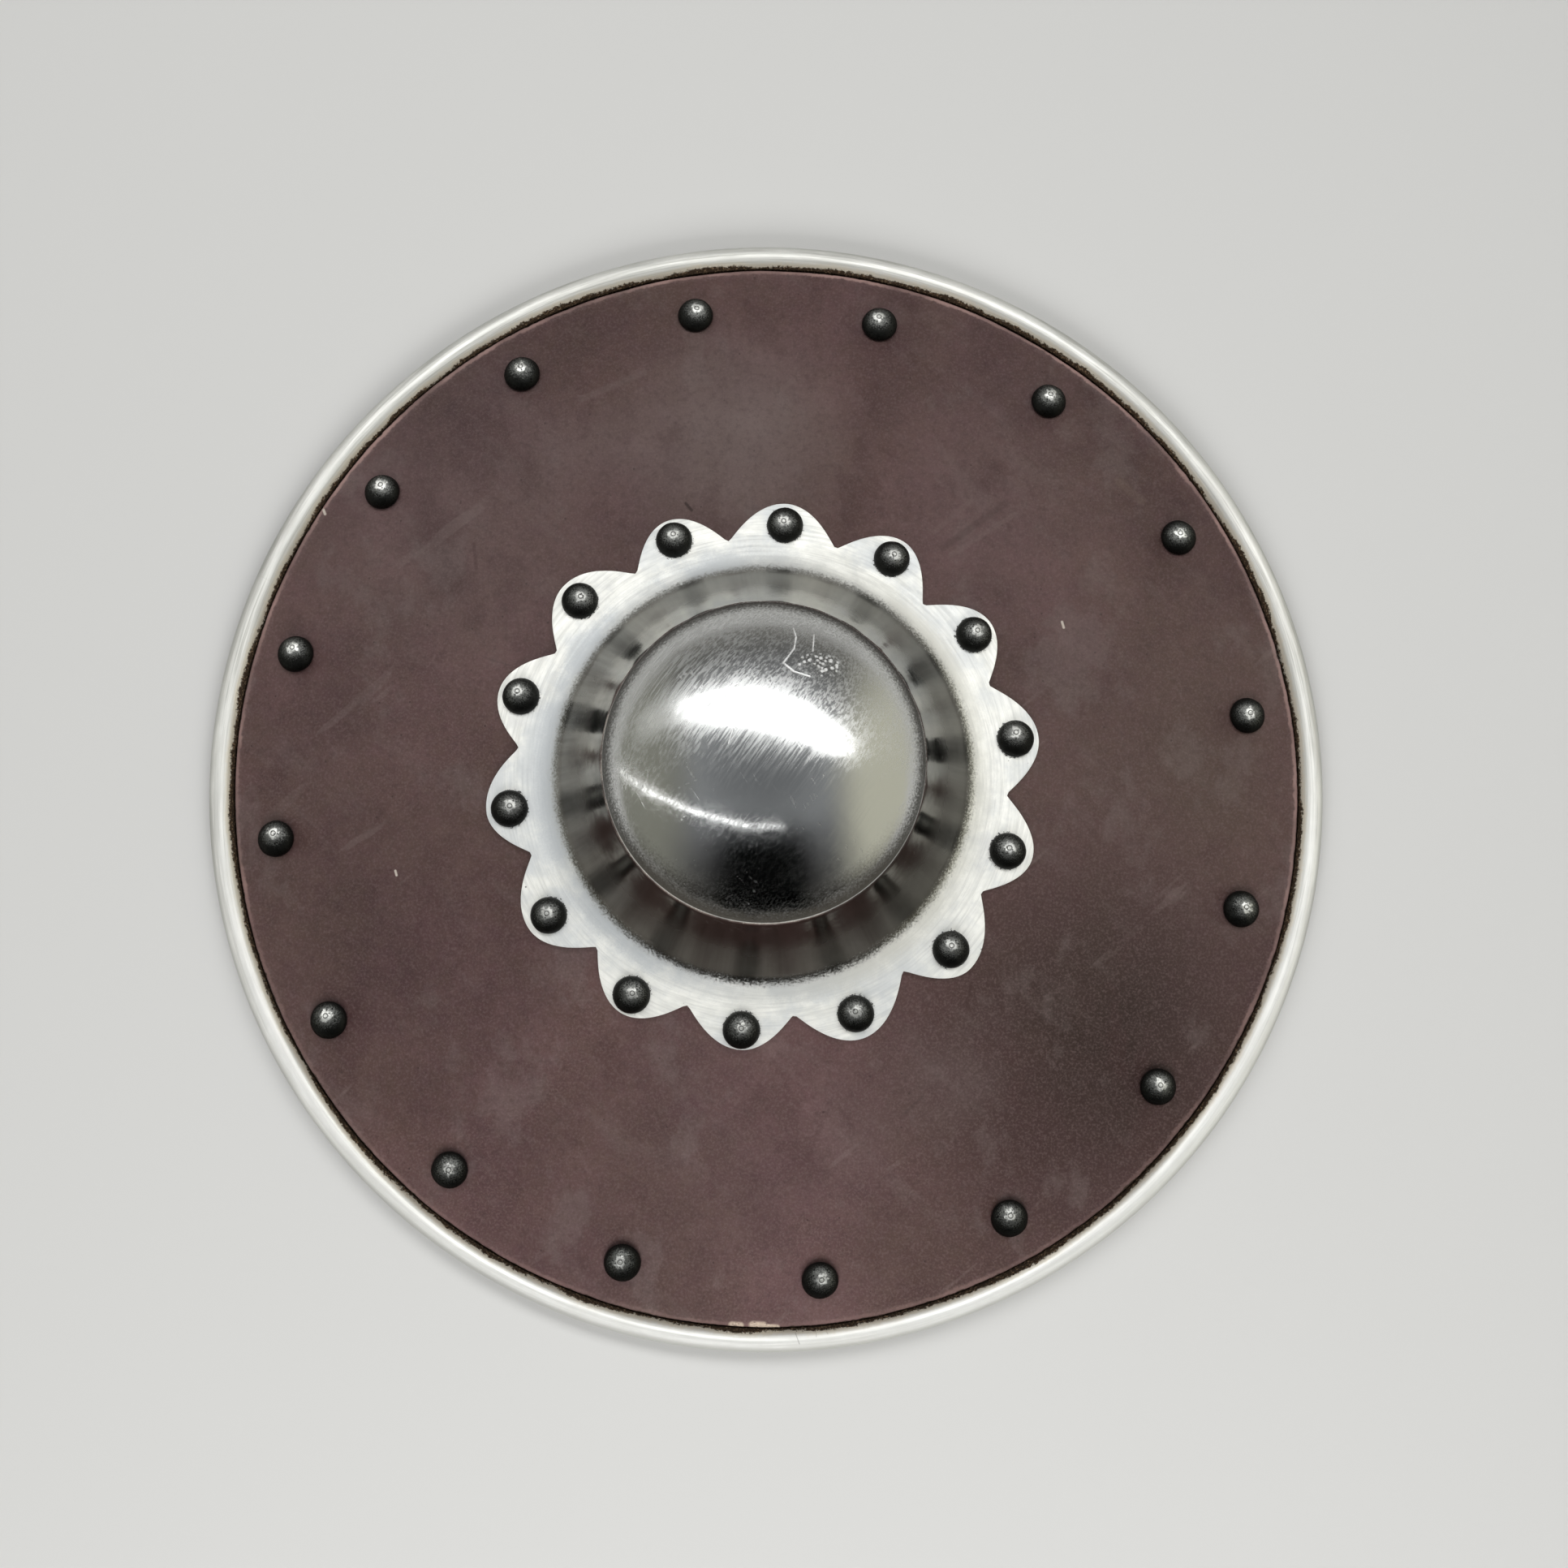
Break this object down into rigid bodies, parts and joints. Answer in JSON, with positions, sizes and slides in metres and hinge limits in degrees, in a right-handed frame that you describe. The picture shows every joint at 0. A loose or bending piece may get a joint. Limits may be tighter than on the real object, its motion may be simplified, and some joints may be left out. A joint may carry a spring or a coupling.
{
  "type": "buckler",
  "caption": "Round hand shield: dished steel plate with a rolled edge, leather face, riveted boss with a lobed flange, and a wooden bar grip in its hollow.",
  "frame": {"origin": "on the shield's axis, in the plane that the edge bead rests on", "axes": "+Z along the shield's axis towards the boss, +Y towards the top of the picture, +X to its right"},
  "size_m": [0.35, 0.35, 0.0665],
  "materials": {
    "body_steel": "brushed bright steel with fine scratches",
    "boss_steel": "polished dome, brushed flange",
    "blackened_steel": "blackened, worn bright on top",
    "face_leather": "smooth mauve-brown leather, faintly mottled and rubbed",
    "dark_iron": "dark oiled iron",
    "grip_wood": "oiled hardwood"
  },
  "bodies": {
    "root": {"steel_body": "body_steel", "edge_wire": "dark_iron", "leather_face": "face_leather", "boss": "boss_steel", "boss_rivet_01": "blackened_steel", "boss_rivet_02": "blackened_steel", "boss_rivet_03": "blackened_steel", "boss_rivet_04": "blackened_steel", "boss_rivet_05": "blackened_steel", "boss_rivet_06": "blackened_steel", "boss_rivet_07": "blackened_steel", "boss_rivet_08": "blackened_steel", "boss_rivet_09": "blackened_steel", "boss_rivet_10": "blackened_steel", "boss_rivet_11": "blackened_steel", "boss_rivet_12": "blackened_steel", "boss_rivet_13": "blackened_steel", "boss_rivet_14": "blackened_steel", "face_rivet_01": "blackened_steel", "face_rivet_02": "blackened_steel", "face_rivet_03": "blackened_steel", "face_rivet_04": "blackened_steel", "face_rivet_05": "blackened_steel", "face_rivet_06": "blackened_steel", "face_rivet_07": "blackened_steel", "face_rivet_08": "blackened_steel", "face_rivet_09": "blackened_steel", "face_rivet_10": "blackened_steel", "face_rivet_11": "blackened_steel", "face_rivet_12": "blackened_steel", "face_rivet_13": "blackened_steel", "face_rivet_14": "blackened_steel", "face_rivet_15": "blackened_steel", "face_rivet_16": "blackened_steel", "grip_strap": "dark_iron", "grip_scale_front": "grip_wood", "grip_scale_back": "grip_wood", "grip_pin_1": "dark_iron", "grip_pin_2": "dark_iron"}
  },
  "joints": []
}
